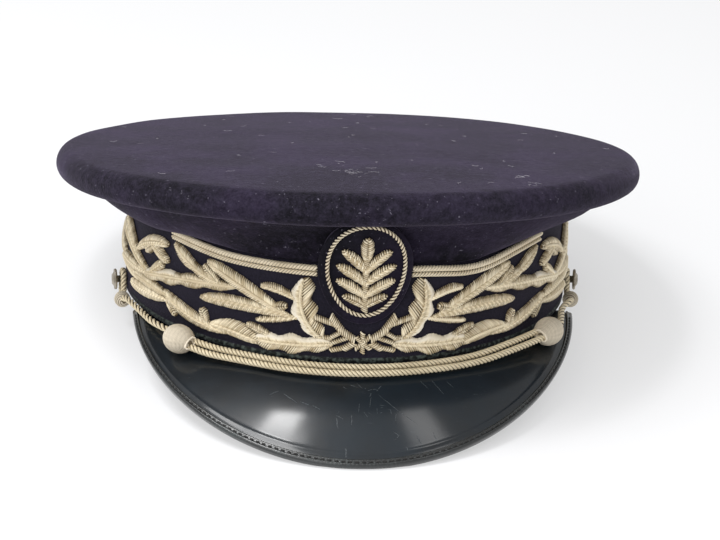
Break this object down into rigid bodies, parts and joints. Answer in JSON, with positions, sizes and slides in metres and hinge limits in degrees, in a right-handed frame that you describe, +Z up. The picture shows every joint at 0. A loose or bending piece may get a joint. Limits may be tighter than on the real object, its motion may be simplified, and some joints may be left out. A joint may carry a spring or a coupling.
{
  "type": "peaked cap",
  "caption": "Stiff cloth peaked cap with an embroidered leaf band, an oval padded badge, a twisted chin cord with slides and a bound leather peak, resting on its peak and band.",
  "frame": {"origin": "under the middle of the cap's box, on the surface that it rests on", "axes": "+Z up; the peak points to -Y and the back of the band to +Y; +X is the left hand of someone who wears it"},
  "size_m": [0.246, 0.2804, 0.1025],
  "materials": {
    "crown_cloth": "matte dark blue-violet wool cloth with a short nap",
    "band_cloth": "matte dark navy wool cloth",
    "badge_cloth": "matte dark navy wool cloth, padded",
    "rope": "twisted tarnished gold cord",
    "bullion": "satin-stitched tarnished gold metal thread",
    "cord": "twisted tarnished gold cord",
    "thread": "wound pale metal thread",
    "leather": "black patent leather with a worn gloss",
    "button": "dull tarnished metal"
  },
  "bodies": {
    "root": {"crown_top": "crown_cloth", "crown_side": "crown_cloth", "band": "band_cloth", "band_rope_upper_left": "rope", "band_rope_upper_right": "rope", "band_rope_lower_left": "rope", "band_rope_lower_right": "rope", "garland_left": "bullion", "garland_right": "bullion", "garland_knot": "bullion", "badge_pad": "badge_cloth", "badge_rope": "rope", "badge_sprig": "bullion", "peak": "leather", "peak_binding": "leather", "chin_cord_left": "cord", "chin_cord_right": "cord", "slide_left": "thread", "slide_right": "thread", "knot_left": "thread", "knot_right": "thread", "button_left": "button", "button_right": "button"}
  },
  "joints": []
}
